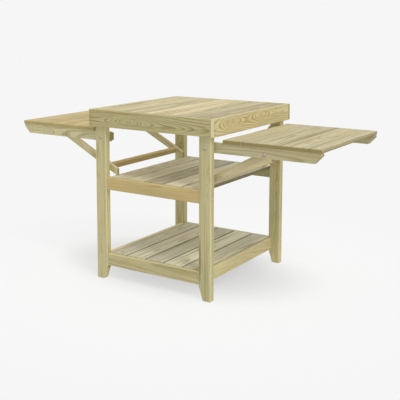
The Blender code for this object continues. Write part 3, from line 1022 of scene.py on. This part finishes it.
@dataclass
class Studio:
    """The camera, lights and floor that the table is shown with."""

    camera_place: tuple[float, float, float] = (2.2724, -3.4777, 1.3735)
    camera_yaw: float = math.radians(32.605)
    camera_pitch: float = math.radians(7.512)
    camera_roll: float = math.radians(0.101)
    focal_pixels: float = 782.6
    picture_pixels: int = 400
    sensor: float = 36.0
    shift_up: float = -0.20
    to_light: tuple[float, float, float] = (0.62, -0.32, 0.72)
    sun_strength: float = 1.15
    sun_spread: float = math.radians(16)
    fill_strength: float = 1.05
    to_top_fill: tuple[float, float, float] = (0.0, 0.0, 1.0)
    top_fill_strength: float = 0.40
    ambient: float = 0.48
    backdrop: Color = (246, 246, 246)
    floor_color: Color = (214, 213, 210)
    floor_catch: float = 0.20
    floor_half: float = 30.0
    shadow_near: float = 0.7
    shadow_far: float = 1.7
    # Painted shadow on the floor under the table: its middle, reach, soft rim and depth.
    shade_middle: tuple[float, float, float] = (-0.06, 0.02, 0.0)
    shade_reach: tuple[float, float, float] = (0.84, 0.54, 1.0)
    shade_rim: tuple[float, float] = (0.35, 1.05)
    shade_depth: float = 0.22

    def set_up(self) -> None:
        """Makes the camera, the lights, the world and the floor."""
        bpy.context.scene.view_settings.view_transform = "Standard"
        self.make_camera()
        self.make_sun("sun", self.to_light, self.sun_strength, True)
        self.make_sun("fill", self.to_light, self.fill_strength, False)
        self.make_sun("top_fill", self.to_top_fill, self.top_fill_strength, False)
        self.make_world()
        self.make_floor()
        LOG.info("studio set up")

    def make_camera(self) -> None:
        """Places the camera where the photograph was taken from."""
        data = bpy.data.cameras.new("camera")
        data.sensor_width = self.sensor
        data.lens = self.focal_pixels / self.picture_pixels * self.sensor
        data.shift_y = self.shift_up
        camera = add_object("camera", data)
        turn = Matrix.Rotation(self.camera_yaw, 4, "Z")
        turn = turn @ Matrix.Rotation(math.pi / 2 - self.camera_pitch, 4, "X")
        turn = turn @ Matrix.Rotation(self.camera_roll, 4, "Z")
        camera.matrix_world = Matrix.Translation(self.camera_place) @ turn
        bpy.context.scene.camera = camera

    def make_sun(self, name: str, toward: tuple[float, float, float], strength: float,
                 shadows: bool) -> None:
        """Adds a fairly soft sun.

        Args:
            name: the light's name.
            toward: the way to it from the table.
            strength: how bright it is.
            shadows: whether it casts them, which a fill light doesn't.
        """
        data = bpy.data.lights.new(name, "SUN")
        data.energy = strength
        data.angle = self.sun_spread
        data.use_shadow = shadows
        sun = add_object(name, data)
        sun.rotation_euler = Vector(toward).to_track_quat("Z", "Y").to_euler()

    @staticmethod
    def end_tree(graph: Graph, lighting: bpy.types.Node, shown: bpy.types.Node, output: str) -> None:
        """Ends a tree in one shader for rays that light the table and one for rays that are seen.

        Args:
            graph: the tree.
            lighting: the shader that lights the table.
            shown: the shader that is seen, also in metal and through glass.
            output: the type of the tree's last node.
        """
        path = graph.add("ShaderNodeLightPath").outputs
        seen = graph.math("MAXIMUM", path["Is Camera Ray"], path["Is Glossy Ray"])
        seen = graph.math("MAXIMUM", seen, path["Is Transmission Ray"])
        mixed = graph.add("ShaderNodeMixShader")
        for socket, value in zip(mixed.inputs, (seen, lighting.outputs[0], shown.outputs[0])):
            graph.feed(socket, value)
        graph.feed(graph.add(output).inputs["Surface"], mixed.outputs[0])

    def make_world(self) -> None:
        """Lights the table evenly, and shows the pale backdrop behind it."""
        world = bpy.data.worlds.new("studio")
        bpy.context.scene.world = world
        world.use_nodes = True
        graph = Graph(world.node_tree)
        world.node_tree.nodes.clear()
        even = graph.add("ShaderNodeBackground")
        even.inputs["Color"].default_value = (1, 1, 1, 1)
        even.inputs["Strength"].default_value = self.ambient
        shown = graph.add("ShaderNodeBackground")
        shown.inputs["Color"].default_value = linear(self.backdrop)
        self.end_tree(graph, even, shown, "ShaderNodeOutputWorld")

    def make_floor(self) -> None:
        """Lays a pale floor that keeps the shadow, has a painted shadow below the table and fades out."""
        side = self.floor_half
        mesh = bpy.data.meshes.new("floor")
        mesh.from_pydata([(-side, -side, 0), (side, -side, 0), (side, side, 0), (-side, side, 0)],
                         [], [(0, 1, 2, 3)])
        floor = add_object("floor", mesh)
        material = bpy.data.materials.new("floor")
        material.use_nodes = True
        material.node_tree.nodes.clear()
        graph = Graph(material.node_tree)
        place = graph.add("ShaderNodeTexCoord").outputs["Object"]
        fade = graph.one_minus(graph.step(graph.vector("LENGTH", place), self.shadow_near, self.shadow_far))
        catch = graph.math("MULTIPLY", fade, self.floor_catch)
        # Painted shadow: the floor's glow is darkened in a soft ellipse under the table.
        beneath = graph.vector("DIVIDE", graph.vector("SUBTRACT", place, self.shade_middle),
                               self.shade_reach)
        painted_shadow = graph.one_minus(graph.step(graph.vector("LENGTH", beneath), *self.shade_rim))
        level = graph.math("MULTIPLY_ADD", painted_shadow, -self.shade_depth, linear(self.backdrop)[0])
        matt, glow = graph.add("ShaderNodeBsdfDiffuse"), graph.add("ShaderNodeEmission")
        for shader, value in ((matt, catch), (glow, graph.math("SUBTRACT", level, catch))):
            tint = graph.add("ShaderNodeCombineColor")
            for socket in tint.inputs:
                graph.feed(socket, value)
            graph.feed(shader.inputs["Color"], tint.outputs[0])
        both = graph.add("ShaderNodeAddShader")
        graph.feed(both.inputs[0], matt.outputs[0])
        graph.feed(both.inputs[1], glow.outputs[0])
        plain = graph.add("ShaderNodeBsdfDiffuse")
        plain.inputs["Color"].default_value = linear(self.floor_color)
        self.end_tree(graph, plain, both, "ShaderNodeOutputMaterial")
        mesh.materials.append(material)


def main() -> None:
    """Dresses every part of the table and sets up the studio."""
    logging.basicConfig(level=logging.INFO, format="%(name)s: %(message)s")
    joiner = Joiner()
    deck, legs, hardware = Deck(), Legs(), Hardware()
    leaves = [Leaf("left", GOLDEN_LEAF_PINE, arm_shade=1.10, crossbar_finish=GOLDEN_RAIL_PINE),
              Leaf("right", PALE_LEAF_PINE)]
    low_rails = {rail: RAIL_PINE for rail in (*ENDS, *SIDES)}
    shelves = [Shelf("middle_shelf", {"front": GOLDEN_RAIL_PINE, "back": BACK_RAIL_PINE}),
               Shelf("lower_shelf", low_rails)]
    for part in (deck, legs, hardware, *leaves, *shelves):
        part.dress(joiner)
    hardware.drive(joiner, deck, legs, leaves)
    Studio().set_up()


if __name__ == "__main__":
    main()
